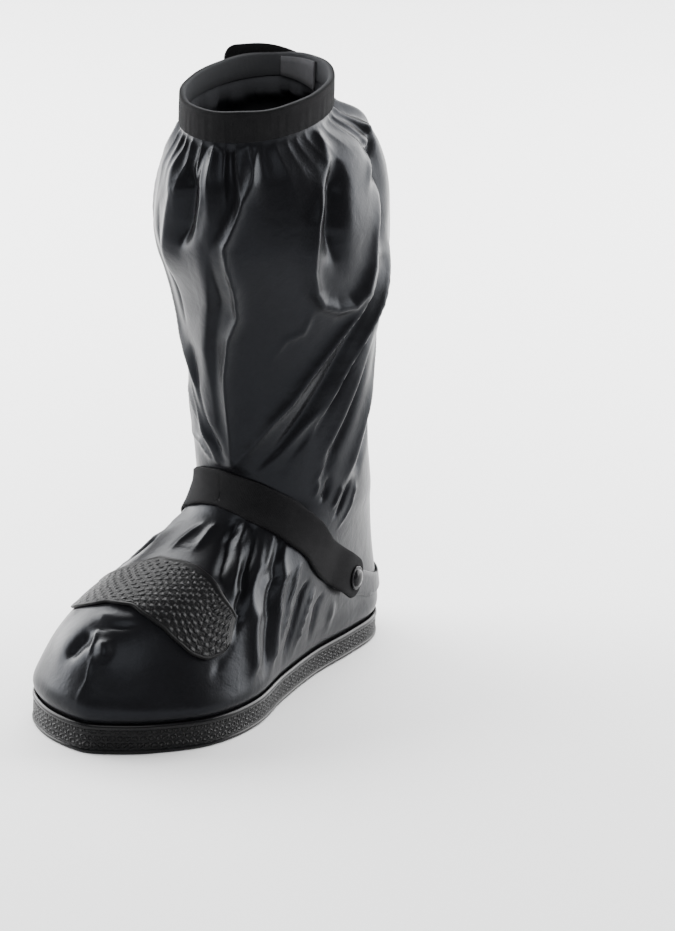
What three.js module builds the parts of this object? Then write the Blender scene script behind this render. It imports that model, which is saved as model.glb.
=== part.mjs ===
import * as THREE from 'three';
import { LoftGeometry } from 'three/addons/geometries/LoftGeometry.js';

// Reusable rain cover for one shoe, the wearer's right foot. Millimetres, +Z up,
// toe toward -Y, inner (medial) side of the foot toward +X. The origin lies on
// the underside of the sole, below the leg. Angles run round the cover from the
// heel (0) over the medial side (90) and the toe (180) to the lateral side (270).

// Driving sizes
const soleLength = 294;      // heel to toe
const ballWidth = 123;       // sole at the ball of the foot
const heelReach = 103;       // from the leg's axis back to the end of the heel
const ankleHeight = 120;     // ground to the level where the strap crosses the front
const totalHeight = 383;     // ground to the cuff's top at the back
const shaftWidth = 132;      // widest part of the leg, side to side
const shaftDepth = 161;      // widest part of the leg, front to back
const cuffWidth = 82;        // cloth inside the cuff band, side to side
const cuffDepth = 107;       // cloth inside the cuff band, front to back
const cuffHeight = 19.5;
const cuffThickness = 1;
const cuffTilt = 9;          // how much lower the cuff lies at the front
const clothWall = 1.3;
const soleThickness = 4;
const sidewallHeel = 15;     // top of the rubber side above the ground, at the heel
const sidewallToe = 19;      // the same at the toe
const sidewallWall = 2.4;
const strapWidth = 26;
const strapThickness = 1.6;
const strapEnd = 10;         // strap left beyond the middle of the snap
const heelBandHeight = 17;
const heelBandThickness = 1.4;
const studDiameter = 11;
const studHeight = 1.6;
const snapDiameter = 15;
const snapHeight = 3.4;
const patchThickness = 1.3;
const tabLength = 40;
const tabHeight = 17;
const tabThickness = 1.6;
const tabLift = 8;           // how far the tab's free end stands off the cuff
const tabRise = 5;           // how far the tab reaches above the cuff
const flapLength = 30;
const flapHeight = 18;
const flapThickness = 1.2;
const gap = 0.3;             // clearance between pieces that lie on each other
const clothGap = 0.6;        // the same on the curved cloth

const around = 60;           // points round the cover

// Half widths of the sole, shares of ballWidth, every 18 degrees from heel to toe
const footprint = [
  { angle: 0, medial: 0, lateral: 0 },
  { angle: 18, medial: 0.179, lateral: 0.179 },
  { angle: 36, medial: 0.310, lateral: 0.293 },
  { angle: 54, medial: 0.355, lateral: 0.317 },
  { angle: 72, medial: 0.385, lateral: 0.350 },
  { angle: 90, medial: 0.461, lateral: 0.407 },
  { angle: 108, medial: 0.562, lateral: 0.447 },
  { angle: 126, medial: 0.542, lateral: 0.452 },
  { angle: 144, medial: 0.390, lateral: 0.380 },
  { angle: 162, medial: 0.211, lateral: 0.178 },
  { angle: 180, medial: 0.065, lateral: -0.065 },
];

// Sections over the foot. back and front: shares of soleLength from the leg's
// axis; backUp and frontUp: shares of ankleHeight; medial and lateral: half
// widths, shares of ballWidth; sole: how much the section keeps the sole's shape
const footSections = [
  { name: 'bulge', back: 0.350, backUp: 0.267, front: -0.645, frontUp: 0.300,
    medial: 0.488, lateral: 0.478, sole: 0.75 },
  { name: 'toecap', back: 0.347, backUp: 0.367, front: -0.612, frontUp: 0.450,
    medial: 0.463, lateral: 0.440, sole: 0.45 },
  { name: 'crease', back: 0.344, backUp: 0.467, front: -0.561, frontUp: 0.567,
    medial: 0.439, lateral: 0.395, sole: 0.25 },
  { name: 'vamp', back: 0.340, backUp: 0.567, front: -0.483, frontUp: 0.658,
    medial: 0.423, lateral: 0.345, sole: 0.12 },
  { name: 'instep', back: 0.333, backUp: 0.675, front: -0.367, frontUp: 0.733,
    medial: 0.407, lateral: 0.318, sole: 0.05 },
  { name: 'tongue', back: 0.323, backUp: 0.783, front: -0.248, frontUp: 0.800,
    medial: 0.398, lateral: 0.328, sole: 0 },
  { name: 'throat', back: 0.310, backUp: 0.883, front: -0.160, frontUp: 0.900,
    medial: 0.398, lateral: 0.362, sole: 0 },
];

// Sections up the leg. back and front: shares of shaftDepth; backUp and frontUp:
// shares of the height from ankleHeight to totalHeight; medial and lateral: half
// widths, shares of shaftWidth; steps: rows of points up to the next section
const legSections = [
  { name: 'ankle', back: 0.540, backUp: 0.000, front: -0.236, frontUp: 0.008,
    medial: 0.371, lateral: 0.352, steps: 2 },
  { name: 'shin', back: 0.516, backUp: 0.114, front: -0.236, frontUp: 0.114,
    medial: 0.379, lateral: 0.379, steps: 3 },
  { name: 'calf', back: 0.516, backUp: 0.285, front: -0.286, frontUp: 0.285,
    medial: 0.409, lateral: 0.394, steps: 3 },
  { name: 'knee', back: 0.552, backUp: 0.475, front: -0.360, frontUp: 0.475,
    medial: 0.474, lateral: 0.455, steps: 3 },
  { name: 'blouse', back: 0.534, backUp: 0.654, front: -0.466, frontUp: 0.654,
    medial: 0.500, lateral: 0.500, steps: 2 },
  { name: 'gather', back: 0.436, backUp: 0.850, front: -0.466, frontUp: 0.785,
    medial: 0.432, lateral: 0.416, steps: 3 },
];
const cuffCentre = -0.078;   // middle of the cuff, share of shaftDepth

// Folds of the cloth. out: how far the cloth stands out, as a share of shaftWidth,
// less than 0 for a valley; width: half width of the fold, share of shaftWidth; path:
// places along the fold, each an angle and a height as a share of totalHeight
const folds = [
  { name: 'front seam', out: 0.046, width: 0.08,
    path: [[170, 0.9], [167, 0.8], [172, 0.7], [182, 0.57], [180, 0.44], [173, 0.375]] },
  { name: 'medial ridge', out: 0.034, width: 0.058,
    path: [[137, 0.91], [145, 0.85], [160, 0.77], [161, 0.67], [167, 0.59], [172, 0.5]] },
  { name: 'lateral pocket', out: -0.055, width: 0.06,
    path: [[189, 0.9], [185, 0.83], [192, 0.74]] },
  { name: 'lateral ridge', out: 0.032, width: 0.062,
    path: [[206, 0.9], [200, 0.84], [204, 0.76], [213, 0.66]] },
  { name: 'horseshoe', out: 0.036, width: 0.055,
    path: [[86, 0.9], [104, 0.864], [116, 0.792], [120, 0.7], [114, 0.657],
      [103, 0.643], [91, 0.652], [80, 0.688], [70, 0.73]] },
  { name: 'horseshoe pocket', out: -0.06, width: 0.07,
    path: [[84, 0.88], [98, 0.82], [103, 0.75], [103, 0.7]] },
  { name: 'diagonal ridge', out: 0.032, width: 0.07,
    path: [[74, 0.64], [94, 0.614], [121, 0.528], [148, 0.459], [168, 0.378]] },
  { name: 'diagonal ridge behind', out: 0.034, width: 0.066,
    path: [[40, 0.63], [57, 0.605], [85, 0.564], [104, 0.506],
      [116, 0.443], [129, 0.4], [140, 0.372]] },
  { name: 'ankle valley medial', out: -0.026, width: 0.06,
    path: [[78, 0.5], [95, 0.412], [106, 0.364]] },
  { name: 'ankle ridge medial', out: 0.022, width: 0.062,
    path: [[52, 0.444], [82, 0.385], [94, 0.345]] },
  { name: 'medial back valley', out: -0.045, width: 0.065,
    path: [[58, 0.9], [60, 0.8], [68, 0.7]] },
  { name: 'medial back ridge', out: 0.024, width: 0.07, path: [[44, 0.9], [36, 0.76], [32, 0.62]] },
  { name: 'lateral crease high', out: 0.03, width: 0.064,
    path: [[216, 0.58], [205, 0.53], [194, 0.47], [176, 0.385]] },
  { name: 'back seam', out: 0.026, width: 0.065, path: [[2, 0.88], [0, 0.6], [358, 0.34]] },
  { name: 'back valley medial', out: -0.03, width: 0.065,
    path: [[18, 0.58], [26, 0.46], [40, 0.37]] },
  { name: 'back valley lateral', out: -0.042, width: 0.065,
    path: [[336, 0.86], [328, 0.7], [320, 0.52]] },
  { name: 'side ridge lateral high', out: 0.036, width: 0.06,
    path: [[302, 0.9], [298, 0.76], [306, 0.6]] },
  { name: 'lateral hollow', out: -0.05, width: 0.075,
    path: [[262, 0.88], [254, 0.78], [250, 0.66]] },
  { name: 'lateral diagonal ridge', out: 0.032, width: 0.068,
    path: [[322, 0.6], [284, 0.55], [252, 0.48], [228, 0.39]] },
  { name: 'lateral diagonal behind', out: 0.028, width: 0.062,
    path: [[338, 0.52], [306, 0.46], [276, 0.38]] },
  { name: 'side ridge front medial', out: 0.024, width: 0.046,
    path: [[146, 0.27], [124, 0.23], [113, 0.182], [112, 0.127], [113, 0.075]] },
  { name: 'side valley medial', out: -0.022, width: 0.046,
    path: [[126, 0.255], [111, 0.223], [102, 0.181], [99, 0.133], [100, 0.1]] },
  { name: 'side ridge back medial', out: 0.022, width: 0.046,
    path: [[92, 0.2], [84, 0.164], [83, 0.136], [86, 0.1]] },
  { name: 'side ridge front lateral', out: 0.024, width: 0.046,
    path: [[214, 0.27], [234, 0.23], [246, 0.18], [249, 0.127], [248, 0.08]] },
  { name: 'side valley lateral', out: -0.022, width: 0.046,
    path: [[236, 0.25], [250, 0.22], [259, 0.175], [262, 0.1]] },
  { name: 'side ridge back lateral', out: 0.022, width: 0.046,
    path: [[264, 0.21], [275, 0.165], [278, 0.1]] },
  { name: 'toe dent', out: -0.045, width: 0.055, path: [[187, 0.163], [180, 0.152], [176, 0.138]] },
  { name: 'toe knuckle', out: 0.028, width: 0.048,
    path: [[172, 0.172], [165, 0.16], [166, 0.142]] },
];
const gathers = 15;          // pleats under the cuff
const gatherOut = 0.022;     // their height, share of shaftWidth

// Strap from the front of the ankle down to one of its snaps, heights as shares
// of ankleHeight; the other side is its mirror image
const strapPath = [
  { angle: 180, up: 1.020 }, { angle: 163, up: 1.000 }, { angle: 138, up: 0.931 },
  { angle: 122, up: 0.864 }, { angle: 108, up: 0.808 }, { angle: 94, up: 0.739 },
  { angle: 84, up: 0.668 }, { angle: 73, up: 0.585 }, { angle: 66, up: 0.520 },
  { angle: 61, up: 0.470 },
];

// Middle of the heel band from the back of the heel to below the snap
const heelBandPath = [
  { angle: 0, up: 0.255 }, { angle: 28, up: 0.270 }, { angle: 40, up: 0.315 },
  { angle: 50, up: 0.380 }, { angle: 66, up: 0.480 },
];

// Edges of the grip patch, heights as shares of ankleHeight
const patchOutline = [
  { angle: 118, low: 0.470, high: 0.560 }, { angle: 121, low: 0.432, high: 0.598 },
  { angle: 126, low: 0.422, high: 0.640 }, { angle: 131, low: 0.446, high: 0.672 },
  { angle: 138, low: 0.512, high: 0.706 }, { angle: 147, low: 0.580, high: 0.735 },
  { angle: 159, low: 0.628, high: 0.757 }, { angle: 172, low: 0.655, high: 0.766 },
  { angle: 186, low: 0.650, high: 0.764 }, { angle: 198, low: 0.622, high: 0.742 },
  { angle: 208, low: 0.588, high: 0.714 }, { angle: 217, low: 0.548, high: 0.680 },
  { angle: 224, low: 0.520, high: 0.648 }, { angle: 229, low: 0.516, high: 0.618 },
  { angle: 232, low: 0.540, high: 0.590 },
];

const radians = THREE.MathUtils.degToRad;
const smooth = (low, high, x) => THREE.MathUtils.smoothstep(x, low, high);

// Curve through the points (xs, ys) that never overshoots them
function curve(xs, ys, x) {
  const last = xs.length - 1;
  let i = 0;
  while (i < last - 1 && x > xs[i + 1]) i++;
  const slope = (k) => (ys[k + 1] - ys[k]) / (xs[k + 1] - xs[k]);
  const tangent = (k) => {
    if (k === 0) return slope(0);
    if (k === last) return slope(last - 1);
    const [a, b] = [slope(k - 1), slope(k)];
    return a * b <= 0 ? 0 : 2 * a * b / (a + b);
  };
  const step = xs[i + 1] - xs[i];
  const t = THREE.MathUtils.clamp((x - xs[i]) / step, 0, 1);
  const t2 = t * t, t3 = t2 * t;
  return ys[i] * (2 * t3 - 3 * t2 + 1) + ys[i + 1] * (3 * t2 - 2 * t3)
    + step * (tangent(i) * (t3 - 2 * t2 + t) + tangent(i + 1) * (t3 - t2));
}

// Half width of the sole at an angle, less than 0 on the lateral side
const soleRing = [
  ...footprint.map((row) => row.medial),
  ...footprint.slice(1, -1).reverse().map((row) => -row.lateral),
];
function soleHalfWidth(angle) {
  const at = (angle / 18 + soleRing.length * 4) % soleRing.length;
  const i = Math.floor(at);
  const t = at - i;
  const y = [-1, 0, 1, 2].map((k) => soleRing[(i + k + soleRing.length) % soleRing.length]);
  return ballWidth * 0.5 * (2 * y[1] + (y[2] - y[0]) * t
    + (2 * y[0] - 5 * y[1] + 4 * y[2] - y[3]) * t * t
    + (3 * y[1] - y[0] - 3 * y[2] + y[3]) * t * t * t);
}
const share = (angle) => (1 - Math.cos(radians(angle))) / 2;   // 0 at the heel, 1 at the toe
const sidewallTop = (angle) => THREE.MathUtils.lerp(sidewallHeel, sidewallToe, share(angle));

// A point of the sole's outline, moved inward by inset
function soleEdge(angle, inset, up) {
  const at = (a) => new THREE.Vector2(soleHalfWidth(a), heelReach - soleLength * share(a));
  const along = at(angle + 0.5).sub(at(angle - 0.5)).normalize();
  const p = at(angle);
  return new THREE.Vector3(p.x + along.y * inset, p.y - along.x * inset, up);
}

// Sections of the upper in millimetres, in order from the foot to the rim
const rimUp = totalHeight - cuffThickness - gap;
const sections = [
  ...footSections.map((row) => ({
    back: row.back * soleLength, front: row.front * soleLength,
    backUp: row.backUp * ankleHeight, frontUp: row.frontUp * ankleHeight,
    medial: row.medial * ballWidth, lateral: row.lateral * ballWidth,
    sole: row.sole, steps: row.front < -0.5 ? 1 : 2,
  })),
  ...legSections.map((row) => ({
    back: row.back * shaftDepth, front: row.front * shaftDepth,
    backUp: ankleHeight + row.backUp * (totalHeight - ankleHeight),
    frontUp: ankleHeight + row.frontUp * (totalHeight - ankleHeight),
    medial: row.medial * shaftWidth, lateral: row.lateral * shaftWidth,
    sole: 0, steps: row.steps,
  })),
  ...[cuffHeight, 0].map((below) => ({
    back: cuffCentre * shaftDepth + cuffDepth / 2, front: cuffCentre * shaftDepth - cuffDepth / 2,
    backUp: rimUp - below, frontUp: rimUp - cuffTilt - below,
    medial: cuffWidth / 2, lateral: cuffWidth / 2, sole: 0, steps: 1,
  })),
];
const levels = sections.map((_, i) => i);
const lastLevel = levels.length - 1;
const cuffLevel = lastLevel - 1;

// Smooth surface of the upper without folds; level counts the sections
function surface(angle, level) {
  const [back, front, backUp, frontUp, medial, lateral, sole] =
    ['back', 'front', 'backUp', 'frontUp', 'medial', 'lateral', 'sole']
      .map((key) => curve(levels, sections.map((row) => row[key]), level));
  const side = Math.sin(radians(angle));
  const oval = side * (side >= 0 ? medial : lateral);
  return new THREE.Vector3(
    THREE.MathUtils.lerp(oval, soleHalfWidth(angle), sole),
    THREE.MathUtils.lerp(back, front, share(angle)),
    THREE.MathUtils.lerp(backUp, frontUp, share(angle)),
  );
}
function normal(angle, level) {
  const low = Math.max(0, level - 0.05), high = Math.min(lastLevel, level + 0.05);
  const round = surface(angle + 1, level).sub(surface(angle - 1, level));
  const rise = surface(angle, high).sub(surface(angle, low));
  return rise.cross(round).normalize();
}

// Levels of the rows of points, and the flat facets between them
const rows = sections.slice(0, -1).flatMap((row, i) =>
  Array.from({ length: row.steps }, (_, k) => i + k / row.steps)).concat(lastLevel);
function facet(angle, level) {
  let i = 0;
  while (i < rows.length - 2 && level > rows[i + 1]) i++;
  const t = THREE.MathUtils.clamp((level - rows[i]) / (rows[i + 1] - rows[i]), 0, 1);
  return surface(angle, rows[i]).lerp(surface(angle, rows[i + 1]), t);
}
function levelAt(angle, up) {
  let low = 0, high = lastLevel;
  for (let i = 0; i < 30; i++) {
    const middle = (low + high) / 2;
    if (facet(angle, middle).z < up) low = middle; else high = middle;
  }
  return (low + high) / 2;
}

// Place on the surface next to a given place, a vector away
function slide(place, vector) {
  const target = facet(place.angle, place.level).add(vector);
  const spot = { ...place };
  for (let i = 0; i < 4; i++) {
    const here = facet(spot.angle, spot.level);
    const round = facet(spot.angle + 1, spot.level).sub(facet(spot.angle - 1, spot.level))
      .multiplyScalar(0.5);
    const rise = facet(spot.angle, spot.level + 0.1).sub(facet(spot.angle, spot.level - 0.1))
      .multiplyScalar(5);
    const rest = target.clone().sub(here);
    const [rr, ru, uu] = [round.dot(round), round.dot(rise), rise.dot(rise)];
    const [r, u] = [round.dot(rest), rise.dot(rest)];
    const size = rr * uu - ru * ru;
    spot.angle += (r * uu - u * ru) / size;
    spot.level = THREE.MathUtils.clamp(spot.level + (u * rr - r * ru) / size, 0, lastLevel);
  }
  return spot;
}
const lifted = (place, height) =>
  facet(place.angle, place.level).addScaledVector(normal(place.angle, place.level), height);

const mirrored = (angle) => (angle > 180 ? 360 - angle : angle);
function pathUp(path, angle) {
  const pts = [...path].sort((a, b) => a.angle - b.angle);
  return ankleHeight * curve(pts.map((p) => p.angle), pts.map((p) => p.up), mirrored(angle));
}

// Millimetres along the surface for one degree round it and one millimetre of height
function stretch(angle, level) {
  const low = Math.max(0, level - 0.05), high = Math.min(lastLevel, level + 0.05);
  const rise = surface(angle, high).sub(surface(angle, low));
  return {
    round: surface(angle + 1, level).distanceTo(surface(angle - 1, level)) / 2,
    slant: Math.min(3, rise.length() / Math.max(rise.z, 0.001)),
  };
}

// 1 where the cloth may fold, 0 below the strap, heel band, patch and cuff
function mayFold(angle, p, level) {
  const turn = mirrored(angle);
  const beside = (up, half, turns) =>
    smooth(3, 12, Math.hypot(Math.max(0, Math.abs(p.z - up) - half), Math.max(0, turns) * 1.2));
  let free = (1 - smooth(cuffLevel - 0.3, cuffLevel, level)) * smooth(0, 0.8, level);
  free *= beside(pathUp(strapPath, turn), strapWidth * (turn > 120 ? 0.5 : 0.75),
    strapPath.at(-1).angle - 10 - turn);
  free *= beside(pathUp(heelBandPath, turn), heelBandHeight * 0.6, turn - heelBandPath.at(-1).angle);
  const angles = patchOutline.map((row) => row.angle);
  const [low, high] = ['low', 'high'].map((key) =>
    ankleHeight * curve(angles, patchOutline.map((row) => row[key]), angle));
  return free * beside((low + high) / 2, (high - low) / 2,
    Math.max(angles[0] - angle, angle - angles.at(-1)));
}

// How far the folds and gathers push the cloth out at a point
function foldHeight(angle, p, level) {
  const { round, slant } = stretch(angle, level);
  const turn = (a) => (THREE.MathUtils.euclideanModulo(a + 180, 360) - 180) * round;
  let out = 0;
  for (const fold of folds) {
    let nearest = Infinity, along = 0;
    let from = new THREE.Vector2(turn(fold.path[0][0] - angle), 0);
    from.y = (fold.path[0][1] * totalHeight - p.z) * slant;
    for (let i = 1; i < fold.path.length; i++) {
      const to = new THREE.Vector2(from.x + turn(fold.path[i][0] - fold.path[i - 1][0]),
        (fold.path[i][1] * totalHeight - p.z) * slant);
      const line = to.clone().sub(from);
      const t = THREE.MathUtils.clamp(-from.dot(line) / line.lengthSq(), 0, 1);
      const distance = from.addScaledVector(line, t).length();
      if (distance < nearest) [nearest, along] = [distance, (i - 1 + t) / (fold.path.length - 1)];
      from = to;
    }
    const taper = Math.min(1, 0.25 + 4 * along * (1 - along));
    out += fold.out * shaftWidth * taper * Math.exp(-((nearest / (fold.width * shaftWidth)) ** 2));
  }
  const near = smooth(cuffLevel - 2.6, cuffLevel - 0.6, level);
  const wave = Math.cos(radians(angle * gathers)) * (0.8 + 0.4 * Math.sin(radians(angle * 3 + 40)));
  return (out + near * gatherOut * shaftWidth * wave) * mayFold(angle, p, level);
}

const black = (name, color, roughness) =>
  new THREE.MeshStandardMaterial({ name, color, roughness, metalness: 0 });
const group = new THREE.Group();
group.name = 'shoe_cover';
function add(name, rings, material, ends = false) {
  const geometry = new LoftGeometry(rings, { closed: true, capStart: ends, capEnd: ends });
  const mesh = new THREE.Mesh(geometry, material);
  mesh.name = name;
  group.add(mesh);
}
const ring = (point) => Array.from({ length: around }, (_, i) => point(-i * 360 / around));
const turned = (angle) => THREE.MathUtils.euclideanModulo(angle, 360);

// Outsole: tread plate with an upturned side, a tray that the upper stands in
add('outsole', [
  ring((a) => soleEdge(a, 1.2, 0)),
  ring((a) => soleEdge(a, 0, 1.2)),
  ring((a) => soleEdge(a, 0, sidewallTop(a) - 0.8)),
  ring((a) => soleEdge(a, 0.8, sidewallTop(a))),
  ring((a) => soleEdge(a, sidewallWall, sidewallTop(a))),
  ring((a) => soleEdge(a, sidewallWall, soleThickness - 0.4)),
  ring((a) => soleEdge(a, sidewallWall + 5, soleThickness)),
], black('sole_rubber', 0x1b1c1f, 0.5), true);

// Upper: one hollow shell of coated cloth, open below into the outsole and at the rim
const clothInset = sidewallWall + gap;
const outer = [
  ring((a) => soleEdge(a, clothInset, soleThickness + gap)),
  ring((a) => soleEdge(a, clothInset, sidewallTop(a) + gap)),
  ring((a) => soleEdge(a, 0.9, sidewallTop(a) + 3)),
  ...rows.map((level) => ring((a) => {
    const angle = turned(a);
    const p = surface(angle, level);
    return p.addScaledVector(normal(angle, level), foldHeight(angle, p, level));
  })),
];
const last = outer.length - 1;
const inner = outer.map((points, j) => points.map((p, i) => {
  const around1 = points[(i + 1) % around].clone().sub(points[(i + around - 1) % around]);
  const rise = outer[Math.min(j + 1, last)][i].clone().sub(outer[Math.max(j - 1, 0)][i]);
  if (j < 2 || j >= last - 1) rise.set(0, 0, 1);
  const inward = around1.cross(rise).normalize();
  const wall = p.clone().addScaledVector(inward, -clothWall);
  return wall;
}));
add('upper', [...outer, ...inner.reverse(), outer[0]], black('coated_cloth', 0x232427, 0.38));

// Cuff band: folded over the rim of the upper, outside and inside
function cuffRing(side, below, above) {
  return ring((a) => {
    const p = surface(turned(a), lastLevel);
    const out = normal(turned(a), lastLevel).setZ(0).normalize();
    return p.addScaledVector(out, side).add(new THREE.Vector3(0, 0, above - below));
  });
}
const cuffOut = gap + cuffThickness;
const cuffIn = -clothWall - gap;
add('cuff_band', [
  cuffRing(gap, cuffHeight - 2, 0),
  cuffRing(cuffOut, cuffHeight - 2, 0),
  cuffRing(cuffOut, 0, gap),
  cuffRing(cuffOut - cuffThickness / 2, 0, cuffOut),
  cuffRing(cuffIn - cuffThickness / 2, 0, cuffOut),
  cuffRing(cuffIn - cuffThickness, 0, gap),
  cuffRing(cuffIn - cuffThickness, cuffHeight - 6, 0),
  cuffRing(cuffIn, cuffHeight - 6, 0),
  cuffRing(cuffIn, 0, gap),
  cuffRing(gap, 0, gap),
  cuffRing(gap, cuffHeight - 2, 0),
], black('cuff_elastic', 0x1d1e20, 0.75));

// Closure tab: one flat end of the cuff's elastic, outside at the back. It rises above
// the rim, and its rounded free end on the lateral side stands off.
const tabSteps = 8;
const turnsFor = (length) => (length / (Math.PI * (cuffWidth + cuffDepth) / 2)) * 360;
add('closure_tab', Array.from({ length: tabSteps + 1 }, (_, i) => {
  const t = i / tabSteps;
  const angle = turned(-14 - turnsFor(tabLength) * t);
  const p = surface(angle, lastLevel);
  const out = normal(angle, lastLevel).setZ(0).normalize();
  const face = cuffOut + gap + tabLift * t * t;
  const corner = (far, up) => p.clone().addScaledVector(out, face + far)
    .add(new THREE.Vector3(0, 0, up));
  const round = i === tabSteps ? 3 : 0;
  const top = cuffOut - 0.5 + tabRise * Math.sin(Math.min(1, t / 0.65) * Math.PI / 2);
  const [low, high] = [top - tabHeight + round, top - round];
  return [corner(0, low), corner(0, high), corner(tabThickness, high), corner(tabThickness, low)];
}), black('cuff_elastic', 0x1d1e20, 0.75), true);

// Closure flap: the elastic's other end, inside the cuff at the back, lower at the
// medial side
const flapSteps = 3;
add('closure_flap', Array.from({ length: flapSteps + 1 }, (_, i) => {
  const t = i / flapSteps;
  const angle = turned(11 - turnsFor(flapLength) * t);
  const p = surface(angle, lastLevel);
  const out = normal(angle, lastLevel).setZ(0).normalize();
  const corner = (far, up) => p.clone().addScaledVector(out, cuffIn - cuffThickness - gap - far)
    .add(new THREE.Vector3(0, 0, up));
  const low = -1 - flapHeight * (1 - 0.35 * t);
  return [corner(0, low), corner(flapThickness, low), corner(flapThickness, -1), corner(0, -1)];
}), black('cuff_elastic', 0x1d1e20, 0.75), true);

// Heel band: strip of the cover's cloth round the heel, its ends below the snaps
const heelEnd = heelBandPath.at(-1).angle;
const heelSteps = 28;
add('heel_band', Array.from({ length: heelSteps + 1 }, (_, i) => {
  const at = THREE.MathUtils.lerp(heelEnd, -heelEnd, i / heelSteps);
  const angle = turned(at);
  const place = { angle, level: levelAt(angle, pathUp(heelBandPath, angle)) };
  const edge = (at < 0 ? -1 : 1) * at;
  const half = heelBandHeight / 2 * (edge > heelEnd - 1 ? 0.7 : 1);
  const up = (side) => slide(place, new THREE.Vector3(0, 0, side * half));
  const [bottom, middle, top] = [up(-1), place, up(1)];
  const over = clothGap + heelBandThickness;
  return [lifted(middle, clothGap), lifted(top, clothGap), lifted(top, over),
    lifted(middle, over), lifted(bottom, over), lifted(bottom, clothGap)];
}), black('coated_cloth', 0x232427, 0.38), true);

// Snap places: middle of each snap, with the direction out and along the strap
const snapAt = strapPath.at(-1);
const snaps = [['medial', 1], ['lateral', -1]].map(([side, sign]) => {
  const place = (turn) => {
    const angle = turned(sign * turn);
    return { angle, level: levelAt(angle, pathUp(strapPath, angle)) };
  };
  const here = place(snapAt.angle);
  const out = normal(here.angle, here.level);
  const along = lifted(place(snapAt.angle + 5), 0).sub(lifted(here, 0));
  along.addScaledVector(out, -along.dot(out)).normalize();
  return { side, sign, out, along, across: out.clone().cross(along), foot: lifted(here, 0) };
});

// Ankle strap: elastic band over the front of the ankle, both ends lifted flat
// onto the studs and rounded round the snaps
const studFoot = clothGap + heelBandThickness + gap;
const strapFoot = studFoot + studHeight + gap;
function strapRing(snap, distance, turn) {
  const angle = turned(snap.sign * turn);
  const place = { angle, level: levelAt(angle, pathUp(strapPath, angle)) };
  const ahead = turned(snap.sign * (turn + 2));
  const along = lifted({ angle: ahead, level: levelAt(ahead, pathUp(strapPath, ahead)) }, 0)
    .sub(lifted(place, 0)).normalize();
  const across = normal(angle, place.level).cross(along).normalize();
  const flat = 1 - smooth(8, 26, distance);
  const end = Math.min(1, Math.sqrt(Math.max(0.1, 1 - Math.max(0, -distance / strapEnd) ** 2)));
  const point = (side, height) => {
    const seat = lifted(slide(place, across.clone().multiplyScalar(side * strapWidth / 2)),
      clothGap + height);
    const plane = snap.foot.clone().addScaledVector(snap.out, strapFoot + height)
      .addScaledVector(snap.along, distance)
      .addScaledVector(snap.across, side * end * strapWidth / 2);
    return seat.lerp(plane, flat);
  };
  return [point(1, 0), point(1, strapThickness), point(0, strapThickness),
    point(-1, strapThickness), point(-1, 0), point(0, 0)];
}
function strapHalf(snap) {
  const rings = [-0.97, -0.85, -0.6, -0.3, 0].map((t) => strapRing(snap, t * strapEnd, snapAt.angle));
  let distance = 0, before = null;
  for (let turn = snapAt.angle; turn <= 178; turn += turn < 90 ? 3 : 5) {
    const angle = turned(snap.sign * turn);
    const p = surface(angle, levelAt(angle, pathUp(strapPath, angle)));
    if (before) distance += p.distanceTo(before);
    before = p;
    if (distance > 0) rings.push(strapRing(snap, distance, turn));
  }
  return rings;
}
const lateralHalf = strapHalf(snaps[1]).map((points) =>
  [points[4], points[3], points[2], points[1], points[0], points[5]]);
add('ankle_strap', [...strapHalf(snaps[0]), ...lateralHalf.reverse()],
  black('webbing', 0x17181a, 0.8), true);

// Snap studs between the heel band and the strap, and domed caps on the strap
function button(name, snap, profile, material) {
  add(name, profile.map(([radius, up]) => Array.from({ length: 20 }, (_, i) => {
    const turn = i / 20 * 2 * Math.PI;
    return snap.foot.clone().addScaledVector(snap.out, up)
      .addScaledVector(snap.along, radius * Math.cos(turn))
      .addScaledVector(snap.across, radius * Math.sin(turn));
  })), material, true);
}
const capFoot = strapFoot + strapThickness + gap;
for (const snap of snaps) {
  button(`snap_stud_${snap.side}`, snap,
    [[studDiameter / 2, studFoot], [studDiameter / 2, studFoot + studHeight]],
    black('snap_plastic', 0x121214, 0.25));
  button(`snap_cap_${snap.side}`, snap, [1, 1, 0.93, 0.72, 0.38, 0.1].map((radius, i) => [
    radius * snapDiameter / 2, capFoot + [0, 0.3, 0.6, 0.85, 0.97, 1][i] * snapHeight,
  ]), black('snap_plastic', 0x121214, 0.25));
}

// Grip patch: rough rubber piece over the instep, drawn down at both sides
const patchSteps = 20;
add('grip_patch', Array.from({ length: patchSteps + 1 }, (_, i) => {
  const angles = patchOutline.map((row) => row.angle);
  const angle = THREE.MathUtils.lerp(angles.at(-1), angles[0], i / patchSteps);
  const edge = (key) => ankleHeight * curve(angles, patchOutline.map((row) => row[key]), angle);
  const points = [0, 0.25, 0.5, 0.75, 1].map((t) =>
    ({ angle, level: levelAt(angle, THREE.MathUtils.lerp(edge('low'), edge('high'), t)) }));
  return [...points.map((spot) => lifted(spot, clothGap)),
    ...points.map((spot) => lifted(spot, clothGap + patchThickness)).reverse()];
}), black('patch_rubber', 0x2a2b2e, 0.45), true);

export default group;
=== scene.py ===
import bpy
import math
import numpy as np
from mathutils import Matrix, Vector


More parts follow.
